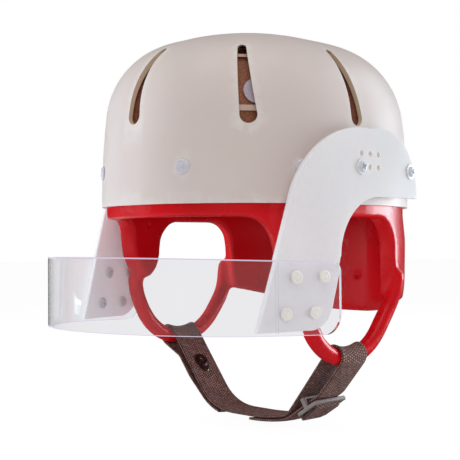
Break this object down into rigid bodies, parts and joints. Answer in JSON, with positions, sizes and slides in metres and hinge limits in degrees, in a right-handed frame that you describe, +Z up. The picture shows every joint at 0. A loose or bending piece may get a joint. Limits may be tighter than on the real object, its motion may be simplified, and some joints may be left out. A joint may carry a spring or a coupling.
{
  "type": "hard shell helmet with face bar",
  "caption": "Hard shell helmet with vent slots, dipped foam liner, ear openings, clear face bar on side plates, and a webbing chin strap with snap and slider.",
  "frame": {"origin": "on the middle line of the head opening, in the plane of the shell's lower rim", "axes": "-Y is the front of the helmet, +X the wearer's left, +Z up"},
  "size_m": [0.2012, 0.2737, 0.2662],
  "materials": {
    "shell_plastic": "satin off-white",
    "dipped_foam": "glossy dipped vinyl over foam",
    "pad_foam": "matt foam",
    "tape": "matt",
    "steel": "plated",
    "milky_plastic": "milky, smooth",
    "spacer_plastic": "matt",
    "clear_plastic": "clear, polished edges",
    "white_plastic": "satin white",
    "dark_metal": "dark enamel",
    "webbing": "ribbed weave",
    "slider_plastic": "glossy"
  },
  "bodies": {
    "helmet": {"outer_shell": "shell_plastic", "liner": "dipped_foam", "chin_loop_left": "dipped_foam", "chin_loop_right": "dipped_foam", "crown_pad_front_left": "pad_foam", "crown_pad_front_right": "pad_foam", "crown_pad_rear_left": "pad_foam", "crown_pad_rear_right": "pad_foam", "crown_pad_top": "pad_foam", "tape_ring_lower": "tape", "tape_ring_upper": "tape", "pad_discs": "tape", "rivets": "steel", "rivet_washers": "steel", "side_plate_left": "milky_plastic", "side_plate_right": "milky_plastic", "spacers_left": "spacer_plastic", "spacers_right": "spacer_plastic", "plate_screws_left": "steel", "plate_screws_right": "steel", "screw_washers_left": "steel", "screw_washers_right": "steel", "tee_nuts_left": "steel", "tee_nuts_right": "steel", "face_bar": "clear_plastic", "bar_posts_left": "white_plastic", "bar_posts_right": "white_plastic", "post_screws_left": "dark_metal", "post_screws_right": "dark_metal"},
    "strap": {"chin_strap": "webbing", "snap_eyelet": "dark_metal", "snap_stud": "dark_metal"},
    "tab": {"strap_tab": "webbing", "snap_socket": "dark_metal", "snap_cap": "dark_metal"},
    "slider": {"slider": "slider_plastic", "strap_tail": "webbing"}
  },
  "joints": [
    {"name": "strap_swing", "type": "hinge", "parent": "helmet", "child": "strap", "pos_m": [-0.0015, -0.001, -0.0535], "axis": [0.9992, 0.0253, -0.0314], "range_deg": [-40, 30]},
    {"name": "tab_open", "type": "hinge", "parent": "strap", "child": "tab", "pos_m": [-0.09042, -0.00325, -0.09173], "axis": [-0.0253, 0.9997, 0], "range_deg": [0, 70]},
    {"name": "slider_shift", "type": "slide", "parent": "strap", "child": "slider", "axis": [0.8327, 0.0211, 0.5533], "range_m": [-0.005, 0.0015]}
  ]
}
